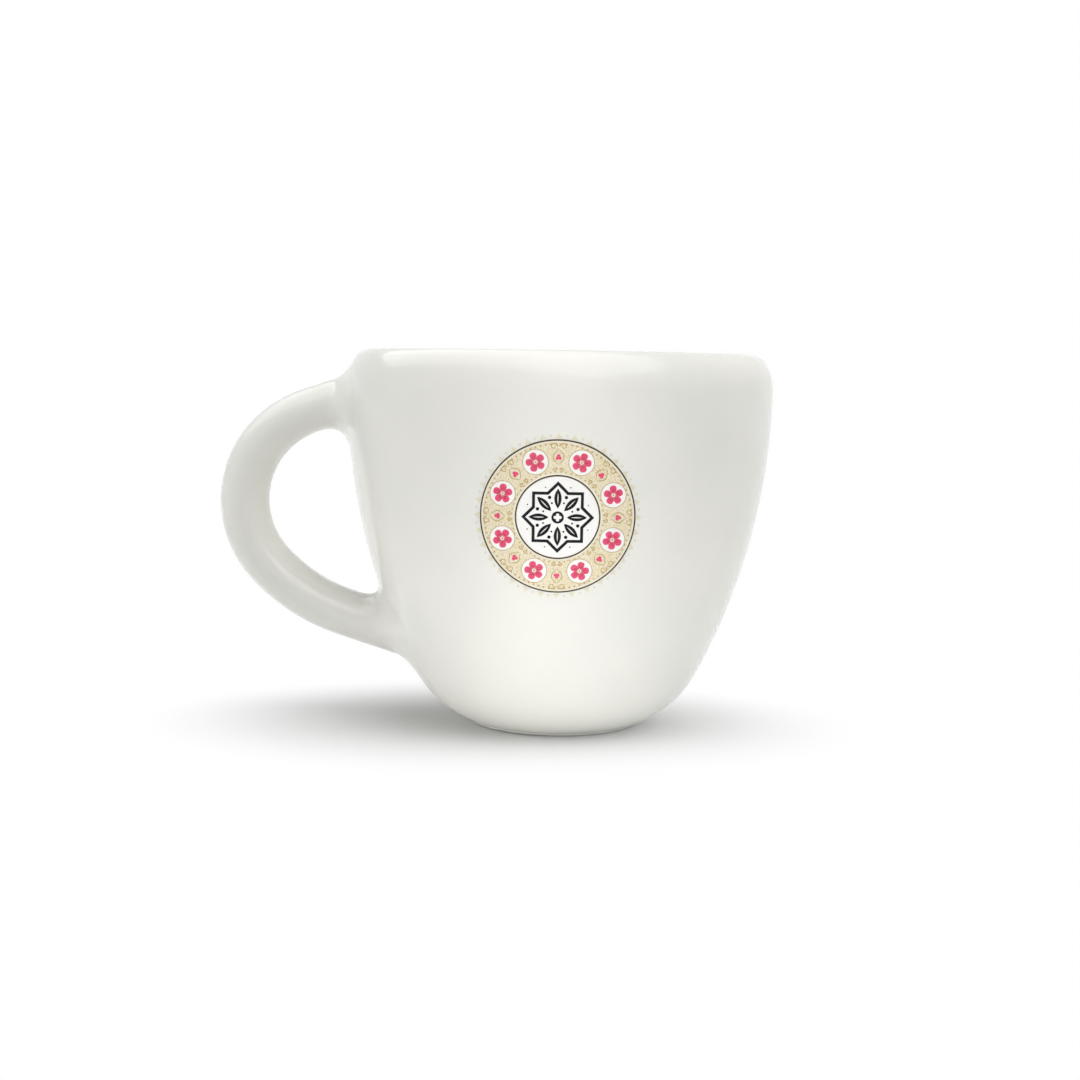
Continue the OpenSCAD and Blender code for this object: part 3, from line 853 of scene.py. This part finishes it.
@dataclass
class Joint:
    """Slip wiped round one root of the handle into a hollow fillet."""

    handle: HandleShape
    root: Root
    hollow_steps: int = 22
    seat_steps: int = 3
    search_steps: int = 34

    def __post_init__(self) -> None:
        """Takes the root's station, direction and reaches from the handle."""
        h, line = self.handle, self.handle.stations()
        upper = self.root is Root.UPPER
        self.station: Station = line[0] if upper else line[-1]
        self.half_t: float = h.half_t(self.station, line[-1].run)
        self.into_wall: Rows = -self.station.along if upper else self.station.along
        self.rise: float = h.length(h.upper_rise_share if upper else h.lower_rise_share)
        self.fall: float = h.length(h.upper_fall_share if upper else h.lower_fall_share)

    def seat(self, grown: float) -> Rows:
        """Searches for the points where the lines of the handle's skin meet the cup's skin.

        Args:
            grown: Growth of both skins outwards.

        Returns:
            The points.
        """
        cup, d = self.handle.cup, self.into_wall
        p = self.handle.section(self.station, self.half_t, grown)
        near, far = np.zeros(len(p)), np.full(len(p), cup.cup_d / 2)
        for _ in range(self.search_steps):
            mid = (near + far) / 2
            q = p + mid[:, None] * d
            out = np.hypot(q[:, 0], q[:, 1]) > cup.skin_r(q[:, 2], grown)
            near, far = np.where(out, mid, near), np.where(out, far, mid)
        return p + ((near + far) / 2)[:, None] * d

    def edge(self, grown: float) -> Rows:
        """Outer edge of the joint on the cup's skin.

        Args:
            grown: Growth of the skin outwards.

        Returns:
            The points.
        """
        h, p = self.handle, self.seat(0.0)
        up = np.cos(h.angles) * np.sign(self.station.along[0])
        z = p[:, 2] + up * np.where(up > 0, self.rise, self.fall)
        return h.cup.on_skin(p[:, 1] + h.length(h.side_share) * np.sin(h.angles), z, grown)

    def corner(self) -> Rows:
        """Finds where the handle's lines cross the planes that touch the cup at the joint's edge.

        Returns:
            The points.
        """
        p, e = self.seat(0.0), self.edge(0.0)
        n = self.handle.cup.skin_normal(e)
        return p + self.into_wall * (((e - p) * n).sum(1) / (n @ self.into_wall))[:, None]

    def grip(self, grown: float) -> Rows:
        """Edge of the joint on the handle's skin.

        Args:
            grown: Growth of the skin outwards.

        Returns:
            The points.
        """
        h = self.handle
        outer, inner = h.length(h.outer_grip_share), h.length(h.inner_grip_share)
        reach = (outer + inner) / 2 + (outer - inner) / 2 * np.cos(h.angles)
        run = (self.corner() - h.section(self.station, self.half_t, 0.0)) @ self.into_wall - reach
        return h.section(self.station, self.half_t, grown) + run[:, None] * self.into_wall

    def mesh(self, name: str) -> Mesh:
        """Closed ring of slip, whose hollow face takes the normals of the curve that it follows.

        Args:
            name: Name of the mesh.

        Returns:
            The mesh.
        """
        g = self.handle.cup.glaze_t
        a, b, c = self.grip(0.0), self.corner(), self.edge(0.0)
        t = np.linspace(0, 1, self.hollow_steps + 1)[None, :, None]
        hollow = a[:, None] * (1 - t) ** 2 + b[:, None] * 2 * t * (1 - t) + c[:, None] * t ** 2
        slope = (b - a)[:, None] * (1 - t) + (c - b)[:, None] * t
        normal = np.cross(np.roll(hollow, -1, 0) - np.roll(hollow, 1, 0), slope)
        normal /= np.linalg.norm(normal, axis=2, keepdims=True)
        e, s = self.edge(-g), self.seat(-g)
        flat = e[:, None] + (s - e)[:, None] * np.linspace(0, 1, self.seat_steps + 1)[None, :, None]
        seat = self.handle.cup.on_skin(flat[..., 1], flat[..., 2], -g)
        rows = np.concatenate([hollow, seat, self.grip(-g)[:, None]], 1)
        count, side = rows.shape[1], np.array([-1.0, 1.0, 1.0])
        normal = normal * side * (-1 if normal[0, 0] @ (a[0] - a.mean(0)) < 0 else 1)
        number = np.arange(len(rows) * count).reshape(len(rows), count)
        after = np.roll(number, -1, 1)
        faces = np.stack([number, after, np.roll(after, -1, 0), np.roll(number, -1, 0)], 2).reshape(-1, 4)
        if self.root is Root.LOWER:
            faces = faces[:, ::-1]
        mesh = bpy.data.meshes.new(name)
        mesh.from_pydata((rows * side * MM).reshape(-1, 3).tolist(), [], faces.tolist())
        mesh.update()
        mesh.polygons.foreach_set("use_smooth", [True] * len(faces))
        plain = np.array([p.normal for p in mesh.polygons]).repeat(4, 0)
        at, place = np.divmod(faces.reshape(-1), count)
        curved = normal[at, np.minimum(place, self.hollow_steps)]
        on_hollow = (np.arange(len(faces)).repeat(4) % count < self.hollow_steps)[:, None]
        mesh.normals_split_custom_set(np.where(on_hollow, curved, plain).tolist())
        return mesh


def path_tree() -> ShapeTree:
    """Builds the tree that sweeps the handle's section along its middle line, as a closed tube of glaze.

    Returns:
        The tree. Its source is a mesh of the line's points, there and back, with their heading, half
        thickness and growth as attributes.
    """
    tree = ShapeTree("pulled_along_a_line", {"Round points": 72, "Width": 0.013, "Weld": 0.0000005})
    line = tree.given["Geometry"]
    sheet, angle, number = tree.sheet(line, tree.given["Round points"])

    def named(label: str) -> NodeSocket:
        """A named number of the line at the row's point."""
        value = tree.first("GeometryNodeInputNamedAttribute", {0: label}, data_type="FLOAT")
        return tree.sampled(line, value, number, "FLOAT")

    middle = tree.sampled(line, tree.here(), number, "FLOAT_VECTOR")
    heading, half_t, grown = named("heading"), named("half_t"), named("grown")
    thick = tree.math("MULTIPLY", tree.math("ADD", half_t, grown), tree.math("COSINE", angle))
    wide = tree.math("ADD", tree.math("MULTIPLY", tree.given["Width"], 0.5), grown)
    back = tree.math("MULTIPLY", thick, tree.math("SINE", heading))
    side = tree.math("MULTIPLY", wide, tree.math("SINE", angle))
    up = tree.math("MULTIPLY", thick, tree.math("COSINE", heading))
    tree.close_sheet(sheet, tree.vector("ADD", middle, tree.joined(back, side, up)))
    return tree


@dataclass
class Handle:
    """The looped handle: its coat of glaze, and the slip at both roots."""

    shape: HandleShape
    glaze: Material
    clay: Material
    root_sink: float = 2.2

    def line(self) -> Object:
        """Draws the middle line there and back.

        Returns:
            The line, with the values that the sweep reads.
        """
        s, stations = self.shape, self.shape.stations()
        first, last = stations[0], stations[-1]
        lower = Joint(s, Root.LOWER)
        depth = float(((lower.seat(0.0) - s.section(last, lower.half_t, 0.0)) @ lower.into_wall).mean())
        path = [first.moved(-first.run - self.root_sink), *stations, last.moved(depth + self.root_sink)]
        half = [s.half_t(station, last.run) * MM for station in (first, *stations, last)]
        both = path + path[::-1]
        source = line_mesh("handle_line", [np.array([[-p.u, 0.0, p.z] for p in both]) * MM])
        for label, row in (
            ("heading", [math.radians(p.heading) for p in both]),
            ("half_t", half + half[::-1]),
            ("grown", [0.0] * len(path) + [-s.cup.glaze_t * MM] * len(path)),
        ):
            source.data.attributes.new(label, "FLOAT", "POINT").data.foreach_set("value", row)
        return source

    def build(self) -> None:
        """Builds and settles the handle's glaze and its joints, and dresses the clay inside."""
        s = self.shape
        sizes = {"Round points": s.round_points, "Width": s.length(s.handle_width_share) * MM}
        coat = path_tree().grow(self.line(), "handle_glaze_coat", self.glaze, sizes)
        settle(coat, Slot.GLAZE, "handle_glaze")
        for root in Root:
            name = f"{root.value}_joint_slip"
            slip = placed(name, Joint(s, root).mesh(name))
            slip.data.materials.append(self.glaze)
            settle(slip, Slot.GLAZE, f"{root.value}_handle_joint")
        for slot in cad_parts["handle"].material_slots:
            slot.material = self.clay


def loop(radius: float, count: int, centre: Pair = (0.0, 0.0)) -> Rows:
    """A circle as points."""
    return np.array(centre) + polar(radius, np.arange(count) * math.tau / count)


def lobes(radius: float, count: int, depth: float, points: int, power: float = 1.0) -> Rows:
    """A flower, first tip at angle 0, with notches of a share's depth, narrower for a higher power."""
    turn = np.arange(points) * math.tau / points
    return polar(radius * (1 - depth * (1 - np.abs(np.cos(turn * count / 2))) ** power), turn)


def stroke(line: Rows, widths: Rows) -> Rows:
    """Outline of a pen stroke.

    Args:
        line: Points along its middle.
        widths: Its width at each point.

    Returns:
        The closed outline.
    """
    step = np.gradient(line, axis=0)
    step /= np.linalg.norm(step, axis=1, keepdims=True)
    side = np.stack([-step[:, 1], step[:, 0]], 1) * widths[:, None] / 2
    return np.concatenate([line + side, (line - side)[::-1]])


def leaf(inner: float, outer: float, width: float) -> Rows:
    """Outline of a pointed leaf between two radii.

    Args:
        inner: Radius of its base.
        outer: Radius of its tip.
        width: Width in the middle.

    Returns:
        The closed outline.
    """
    t = np.linspace(-1, 1, 22)
    middle, bow = inner + (outer - inner) / 2 * (1 + t), width / 2 * (1 - t ** 2)
    return np.concatenate([np.stack([middle, bow], 1), np.stack([middle, -bow], 1)[-2:0:-1]])


def turned(points: Rows, degrees: float) -> Rows:
    """Points turned about the middle."""
    a = math.radians(degrees)
    return points @ np.array([[math.cos(a), math.sin(a)], [-math.sin(a), math.cos(a)]])


def wreath_tree(cup: CupShape, print_z: float) -> ShapeTree:
    """Builds the tree that fills an outline, repeats it round the print and lays it on the cup's wall.

    Args:
        cup: Shape of the cup.
        print_z: Height of the print's middle.

    Returns:
        The tree. Its source is a mesh of closed edge loops in the XY plane.
    """
    tree = ShapeTree("fired_wreath", {
        "Repeats": 1, "Ring radius": 0.0, "Start turn": 0.0,
        "Coat": 0.00005, "Lift": 0.000008, "Fineness": 2, "Weld": 0.0000002,
        "Middle height": print_z * MM, "Wall middle": cup.wall_centre[0] * MM,
        "Wall height": cup.widest_z * MM, "Wall curve": cup.wall_curve_r * MM,
    })
    given = tree.given
    outline = tree.first("GeometryNodeMeshToCurve", {0: given["Geometry"]})
    flat = tree.first("GeometryNodeFillCurve", {0: outline}, mode="TRIANGLES")
    fine = tree.first("GeometryNodeSubdivideMesh", {0: flat, 1: given["Fineness"]})
    raised = {0: fine, 2: tree.joined(z=given["Coat"]), 3: 1.0, 4: False}
    thick = tree.first("GeometryNodeExtrudeMesh", raised, mode="FACES")
    both = tree.add("GeometryNodeJoinGeometry")
    for part in (thick, tree.first("GeometryNodeFlipFaces", {0: fine})):
        tree.tree.links.new(part, both.inputs[0])
    solid = tree.first("GeometryNodeMergeByDistance", {0: both.outputs[0], 2: given["Weld"]})
    row = {"Count": given["Repeats"], "Offset": (0.0, 0.0, 0.0)}
    centres = tree.first("GeometryNodeMeshLine", row, mode="OFFSET")
    part = tree.math("DIVIDE", tree.first("GeometryNodeInputIndex"), given["Repeats"])
    spin = tree.joined(z=tree.math("ADD", tree.math("MULTIPLY", part, math.tau), given["Start turn"]))
    copy = tree.first("GeometryNodeTransform", {0: solid, 1: tree.joined(given["Ring radius"])})
    copies = tree.first("GeometryNodeInstanceOnPoints", {0: centres, 2: copy, 5: spin})
    wreath = tree.first("GeometryNodeRealizeInstances", {0: copies})
    place = tree.parted(tree.here())
    z = tree.math("ADD", place[1], given["Middle height"])
    rise = tree.math("SUBTRACT", z, given["Wall height"])
    curve = tree.math("ADD", tree.math("ADD", given["Wall curve"], place[2]), given["Lift"])
    r = tree.math("ADD", given["Wall middle"], tree.leg(curve, rise))
    front = tree.joined(place[0], tree.math("MULTIPLY", tree.leg(r, place[0]), -1.0), z)
    tree.close(tree.first("GeometryNodeSetPosition", {0: wreath, 2: front}))
    return tree


@dataclass(frozen=True)
class Coat:
    """One coat of the print. Its closed outlines are repeated round the print; one in another is a hole.

    Outlines and ring are millimetres, start is degrees, and lift and thickness are metres.
    """

    name: str
    finish: Material
    slot: Slot
    outlines: Sequence[Rows]
    repeats: int = 1
    ring: float = 0.0
    start: float = 0.0
    node: str = ""
    lift: float = 0.000008
    thickness: float = 0.00003
    fineness: int = 0

    def lay(self, tree: ShapeTree) -> None:
        """Lays the coat on the cup and settles it.

        Args:
            tree: The wreath tree.
        """
        flat = [np.pad(outline, ((0, 0), (0, 1))) * MM for outline in self.outlines]
        piece = tree.grow(line_mesh(self.name, flat), self.name, self.finish, {
            "Repeats": self.repeats,
            "Ring radius": self.ring * MM,
            "Start turn": math.radians(self.start),
            "Coat": self.thickness,
            "Lift": self.lift,
            "Fineness": self.fineness,
        })
        settle(piece, self.slot, *([self.node] if self.node else []))


@dataclass
class FiredPrint:
    """The round print: a gold band with blossoms in windows, dark lines, a star of leaves and a fringe.

    The field over and the thickness of each coat are metres. Plain numbers in the methods are
    millimetres, shares of a length, degrees, powers, or counts of points.
    """

    cup: CupShape
    print_d: float = 31.0
    print_height_share: float = 0.6036
    line_share: float = 0.009
    gap_share: float = 0.0113
    centre_share: float = 0.529
    window_share: float = 0.822
    blossom_share: float = 0.78
    repeats: int = 8
    petals: int = 5
    star_valley_share: float = 0.7654
    star_frame_share: float = 0.885
    leaf_inner_share: float = 0.25
    leaf_outer_share: float = 0.8
    leaf_width_share: float = 0.2
    star_heart_share: float = 0.17
    fringe_points: int = 32
    over: float = 0.00004
    line_coat: float = 0.00006
    ink_coat: float = 0.00002
    fine_coat: float = 0.000015
    dot_coat: float = 0.00001
    band: BandFinish = BandFinish()
    gold: FiredColour = FiredColour("fringe_gold_enamel", "e2dcc0", "ebe7d6")
    deep: FiredColour = FiredColour("deep_gold_enamel", "bfa468", "d3bd86")
    cream: FiredColour = FiredColour("cream_enamel", "f4eeda", "f7f3e6")
    brown: FiredColour = FiredColour("brown_line_enamel", "4e3f18", "5f4f26", shine=0.15)
    charcoal: FiredColour = FiredColour("charcoal_enamel", "242528", "2b2d31", shine=0.06)
    crimson: FiredColour = FiredColour("crimson_enamel", "e4446f", "f06a8d")
    wine: FiredColour = FiredColour("wine_enamel", "b91c46", "c93a60")
    white: FiredColour = FiredColour("white_enamel", "fbfaf7", "f6f5f0")

    def __post_init__(self) -> None:
        """Derives the radii of lines, band, windows and star."""
        gap = self.print_d * self.gap_share
        self.print_r: float = self.print_d / 2
        self.line_w: float = self.print_d * self.line_share
        self.centre_r: float = self.print_r * self.centre_share
        self.inner_r: float = self.centre_r + self.line_w + gap
        self.outer_r: float = self.print_r - self.line_w - gap
        self.window_r: float = (self.outer_r - self.inner_r) * self.window_share / 2
        self.star_r: float = self.centre_r - self.line_w - 2 * gap
        self.half_step: float = 180 / self.repeats
        middle = (self.inner_r + self.outer_r) / 2
        self.in_windows: dict[str, float] = {"repeats": self.repeats, "ring": middle, "start": self.half_step}

    def build(self) -> None:
        """Builds and settles every coat of the print, from the grounds to the fringe."""
        tree = wreath_tree(self.cup, self.cup.cup_h * self.print_height_share)
        for coats in (self.grounds, self.blossoms, self.scrolls, self.star, self.fringe):
            for coat in coats():
                coat.lay(tree)

    def grounds(self) -> list[Coat]:
        """The gold band with its windows, the white and cream grounds beside it, and the two dark lines.

        Returns:
            The coats.
        """
        lap, white = 0.03, self.white.material()
        window = loop(self.window_r, 40, (self.in_windows["ring"], 0))
        windows = [turned(window, self.half_step * (2 * i + 1)) for i in range(self.repeats)]
        creams = [
            loop(self.inner_r - lap, 120), loop(self.centre_r + self.line_w + lap, 120),
            loop(self.print_r - self.line_w - lap, 160), loop(self.outer_r + lap, 160),
        ]
        band = [loop(self.outer_r, 160), loop(self.inner_r, 120), *windows]
        pane = [loop(self.window_r - lap, 40)]
        r, low, w = self.print_r, self.centre_r, self.line_w
        rings = [loop(r, 200), loop(r - w, 200), loop(low + w, 140), loop(low, 140)]
        return [
            Coat("gold_band_coat", self.band.material(), Slot.GOLD, band, node="print_gold_band", fineness=2),
            Coat("white_middle_coat", white, Slot.GLAZE, [loop(self.centre_r - 0.02, 120)], fineness=4),
            Coat("white_window_coats", white, Slot.GLAZE, pane, fineness=2, **self.in_windows),
            Coat("cream_line_coats", self.cream.material(), Slot.GOLD, creams),
            Coat("dark_line_coats", self.brown.material(), Slot.BROWN, rings,
                 node="print_dark_rings", thickness=self.line_coat),
        ]

    def blossoms(self) -> list[Coat]:
        """A blossom in each window: petals, their veins, and stamens round a gold heart.

        Returns:
            The coats.
        """
        there, over, thin = self.in_windows, self.over, self.dot_coat
        r = self.window_r * self.blossom_share
        flower = [lobes(r, self.petals, 0.46, 120, 1.6), loop(r * 0.2, 24)]
        veins = []
        for i in range(self.petals):
            for lean, end in ((-15, 0.66), (0, 0.8), (15, 0.66)):
                line = np.stack([r * np.linspace(0.32, end, 8), np.zeros(8)], 1)
                veins.append(turned(stroke(line, np.linspace(0.13, 0.05, 8)), 360 * i / self.petals + lean))
        dots = [turned(loop(0.09, 10, (r * 0.3, 0)), 36 * (i + 0.5)) for i in range(10)]
        heart = [loop(r * 0.11, 16), *dots]
        rim = [loop(self.window_r + 0.12, 48), loop(self.window_r - 0.02, 48)]
        red, wine, gold = self.crimson.material(), self.wine.material(), self.deep.material()
        return [
            Coat("blossom_coats", red, Slot.CRIMSON, flower, node="print_blossoms",
                 lift=over, thickness=self.ink_coat, fineness=1, **there),
            Coat("petal_vein_coats", wine, Slot.CRIMSON, veins, lift=over * 1.5, thickness=thin, **there),
            Coat("blossom_heart_coats", gold, Slot.GOLD, heart, lift=over * 1.6, thickness=thin, **there),
            Coat("window_line_coats", gold, Slot.GOLD, rim, lift=over, thickness=self.fine_coat, **there),
        ]

    def scrolls(self) -> list[Coat]:
        """Scrolls with a bud between the windows, and beads along both edges of the band.

        Returns:
            The coats.
        """
        inner, width = self.inner_r, self.outer_r - self.inner_r
        shapes = []
        for at, size, inset in ((0.14, 0.5, 0.35), (0.86, 0.85, -0.1)):
            for side in (-1, 1):
                t = np.linspace(0, 1, 26)
                curl = polar(size * (1 - 0.72 * t), t * math.radians(430))
                x = inner + width * at - size * inset + curl[:, 1] * 0.8
                y = side * (0.22 + size * 0.85 - curl[:, 0] * 0.85)
                shapes.append(stroke(np.stack([x, y], 1), 0.24 - 0.12 * t))
        for side in (-1, 1):
            t = np.linspace(0, 1, 20)
            x = inner + width * (0.28 + 0.5 * t)
            y = side * (0.12 + 0.95 * np.sin(t * math.pi) ** 1.3)
            shapes.append(stroke(np.stack([x, y], 1), 0.1 + 0.12 * np.sin(t * math.pi)))
        gold, fine = self.deep.material(), {"lift": self.over, "thickness": self.fine_coat}
        edges = (("outer", self.outer_r - 0.3, 0.19, 88), ("inner", inner + 0.28, 0.16, 56))
        return [
            Coat("scroll_coats", gold, Slot.GOLD, shapes, self.repeats, **fine),
            *(Coat(f"{name}_bead_coats", gold, Slot.GOLD, [loop(bead, 14)], count, r, 180 / count, **fine)
              for name, r, bead, count in edges),
            Coat("bud_coats", self.crimson.material(), Slot.CRIMSON, [lobes(0.62, 3, 0.42, 36, 1.4)],
                 self.repeats, self.in_windows["ring"] + 0.1, lift=self.over * 1.4, thickness=self.fine_coat),
        ]

    def star(self) -> list[Coat]:
        """The star in the white middle: frame, leaves with a vein, dots and a heart.

        Returns:
            The coats.
        """
        r, turn = self.star_r, np.arange(2 * self.repeats) * math.pi / self.repeats
        star = polar(r * np.where(np.arange(2 * self.repeats) % 2 == 0, 1.0, self.star_valley_share), turn)
        blade = leaf(r * self.leaf_inner_share, r * self.leaf_outer_share, r * self.leaf_width_share)
        parts = (blade, leaf(r * 0.36, r * 0.68, 0.2))
        leaves = [turned(part, 2 * self.half_step * i) for i in range(self.repeats) for part in parts]
        heart = [loop(r * self.star_heart_share, 32), lobes(r * 0.115, 4, 0.45, 32)]
        lines = [star, star * self.star_frame_share, *leaves, *heart]
        rings = ((0.34, 18, 0.6), (0.19, 14, 0.43), (0.13, 12, 0.9))
        dots = [loop(size, count, (r * at, 0)) for size, count, at in rings]
        dark, over = self.charcoal.material(), {"lift": self.over, "thickness": self.ink_coat}
        return [
            Coat("star_coats", dark, Slot.CHARCOAL, lines, node="print_centre_star", fineness=2, **over),
            Coat("star_dot_coats", dark, Slot.CHARCOAL, dots, self.repeats, 0.0, self.half_step, **over),
        ]

    def fringe(self) -> list[Coat]:
        """Faint points and dots round the outer line.

        Returns:
            The coats.
        """
        soft, count = self.gold.material(), self.fringe_points
        flank = np.array([[0, 0.62], [0.35, 0.5], [0.62, 0.2]])
        point = np.concatenate([flank * [1, -1], [[1.15, 0]], flank[::-1]])
        dot_r = self.print_r + 0.75
        return [
            Coat("fringe_point_coats", soft, Slot.GOLD, [point], count, self.print_r + 0.18),
            Coat("fringe_dot_coats", soft, Slot.GOLD, [loop(0.26, 16)], count, dot_r, 180 / count),
        ]


@dataclass(frozen=True)
class Softbox:
    """A soft lamp: where it hangs, its size in metres, its power in watts, and what it acts on."""

    name: str
    place: Triple
    width: float
    height: float
    power: float
    acts: Acts = Acts.MATT
    target: Triple = (0.0, 0.0, 0.045)

    def hang(self) -> None:
        """Hangs the lamp."""
        lamp = bpy.data.lights.new(self.name, "AREA")
        lamp.shape = "RECTANGLE"
        lamp.size, lamp.size_y, lamp.energy = self.width, self.height, self.power
        box = bpy.data.objects.new(self.name, lamp)
        box.location = self.place
        facing = Vector(self.target) - Vector(self.place)
        box.rotation_euler = facing.to_track_quat("-Z", "Y").to_euler()
        box.visible_camera = False
        box.visible_glossy = self.acts is Acts.GLOSS
        box.visible_diffuse = self.acts is Acts.MATT
        bpy.context.scene.collection.objects.link(box)


@dataclass
class Studio:
    """White floor, soft light and the camera."""

    ambient: float = 0.05
    floor_bounce: float = 0.965
    # Tone that the camera sees on the floor near the mug: a painted shadow, darker than the floor's own
    # bounce.
    painted_shadow_tone: float = 0.74
    floor_half: float = 1.5
    # Oval of the painted shadow round the mug. Beyond it the floor shows white emission, which also hides the
    # real shadow there.
    painted_shadow_centre: Triple = (-0.012, -0.005, 0.0)
    painted_shadow_squeeze: Triple = (1.0, 1.6, 1.0)
    painted_shadow_near: float = 0.012
    painted_shadow_far: float = 0.083
    lamps: tuple[Softbox, ...] = (
        Softbox("overhead_glow", (-0.1, -0.1, 0.6), 2.0, 0.8, 8.5, Acts.GLOSS),
        Softbox("upper_right_softbox", (0.55, 0.0, 0.7), 0.8, 0.8, 2.9),
        Softbox("low_left_softbox", (-0.6, 0.0, 0.18), 0.4, 0.3, 0.8),
        Softbox("left_softbox", (-0.6, -0.25, 0.25), 0.4, 0.4, 1.0),
        Softbox("right_softbox", (0.6, -0.25, 0.25), 0.4, 0.4, 0.9),
        Softbox("overhead_softbox", (0.0, -0.12, 0.4), 0.2, 0.2, 0.54),
        Softbox("back_softbox", (0.0, 0.5, 0.035), 0.5, 0.05, 0.5),
        Softbox("strip_lamp", (0.0, -0.09, 0.05), 0.02, 0.1, 0.01),
        Softbox("rim_lamp", (0.0, -0.06, 0.17), 0.16, 0.03, 0.005),
        Softbox("foot_lamp", (0.0, -0.08, 0.008), 0.06, 0.008, 0.005, target=(0.0, 0.0, 0.012)),
    )
    eye: Triple = (0.0, -0.36, 0.078992)
    yaw: float = -0.619
    pitch: float = 6.056
    roll: float = 0.952
    focal_pixels: float = 1602.947
    frame_pixels: float = 1080.0
    sensor: float = 36.0
    near_clip: float = 0.01

    def world(self) -> None:
        """White for what looks at it, and an even soft light for the rest."""
        world = bpy.data.worlds.new("white_room")
        bpy.context.scene.world = world
        world.use_nodes = True
        nodes = Nodes(world.node_tree)
        rays = nodes.add("ShaderNodeLightPath").outputs
        seen = nodes.math("MAXIMUM", rays["Is Camera Ray"], rays["Is Glossy Ray"])
        seen = nodes.math("MAXIMUM", seen, rays["Is Transmission Ray"])
        back = world.node_tree.nodes["Background"]
        back.inputs[0].default_value = WHITE
        lift = nodes.math("MULTIPLY_ADD", seen, 1.0 - self.ambient, self.ambient)
        world.node_tree.links.new(lift, back.inputs[1])

    def floor(self) -> None:
        """A white sheet that keeps the mug's shadow. Near the mug it shows the camera a darker tone in an
        oval, which is a painted shadow. Further out it fades into white emission, which also hides the real
        shadow there.
        """
        mesh = bpy.data.meshes.new("floor")
        square = ((-1, -1, 0), (1, -1, 0), (1, 1, 0), (-1, 1, 0))
        mesh.from_pydata([Vector(end) * self.floor_half for end in square], [], [(0, 1, 2, 3)])
        material = bpy.data.materials.new("white_floor")
        material.use_nodes = True
        nodes = Nodes(material.node_tree)
        nodes.tree.nodes.remove(nodes.tree.nodes["Principled BSDF"])
        off = nodes.vector("SUBTRACT", nodes.add("ShaderNodeTexCoord").outputs["Object"], self.painted_shadow_centre)
        oval = {0: nodes.vector("MULTIPLY", off, self.painted_shadow_squeeze)}
        far = nodes.add("ShaderNodeVectorMath", oval, operation="LENGTH").outputs["Value"]
        span = {0: far, 1: self.painted_shadow_near, 2: self.painted_shadow_far}
        fade = nodes.first("ShaderNodeMapRange", span, interpolation_type="SMOOTHSTEP")
        rays = nodes.add("ShaderNodeLightPath").outputs
        seen = nodes.math("MAXIMUM", rays["Is Camera Ray"], rays["Is Glossy Ray"])
        # For camera rays the floor is darker by this step inside the oval: painted shadow.
        painted_shadow_step = self.painted_shadow_tone - self.floor_bounce
        painted_shadow_or_bounce_tone = nodes.math("MULTIPLY_ADD", rays["Is Camera Ray"], painted_shadow_step, self.floor_bounce)
        matt = nodes.first("ShaderNodeBsdfDiffuse", {0: painted_shadow_or_bounce_tone})
        white = nodes.first("ShaderNodeEmission", {0: WHITE, 1: 1.0})
        mix = nodes.first("ShaderNodeMixShader", {0: nodes.math("MULTIPLY", fade, seen), 1: matt, 2: white})
        nodes.tree.links.new(mix, nodes.tree.nodes["Material Output"].inputs[0])
        mesh.materials.append(material)
        sheet = placed("floor", mesh)

    def camera(self) -> None:
        """The camera, at the photograph's place and angle."""
        turns = ((-self.yaw, "Z"), (90.0 - self.pitch, "X"), (self.roll, "Z"))
        yaw, tilt, roll = (Matrix.Rotation(math.radians(angle), 4, axis) for angle, axis in turns)
        data = bpy.data.cameras.new("camera")
        data.sensor_width = self.sensor
        data.lens = self.sensor * self.focal_pixels / self.frame_pixels
        data.clip_start = self.near_clip
        eye = bpy.data.objects.new("camera", data)
        eye.matrix_world = Matrix.Translation(Vector(self.eye)) @ yaw @ tilt @ roll
        bpy.context.scene.collection.objects.link(eye)
        bpy.context.scene.camera = eye

    def build(self) -> None:
        """Builds the whole studio."""
        self.world()
        self.floor()
        for lamp in self.lamps:
            lamp.hang()
        self.camera()
        bpy.context.scene.view_settings.view_transform = "Standard"


def main() -> None:
    """Builds the mug's looks in order, from the camera to the print."""
    logging.basicConfig(level=logging.INFO, format="%(message)s")
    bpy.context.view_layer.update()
    Studio().build()
    shape = CupShape()
    glaze, clay = GlazeFinish().material(), ClayFinish().material()
    Cup(shape, glaze, clay).build()
    Handle(HandleShape(shape), glaze, clay).build()
    FiredPrint(shape).build()
    bpy.context.view_layer.update()
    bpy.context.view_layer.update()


if __name__ == "__main__":
    main()
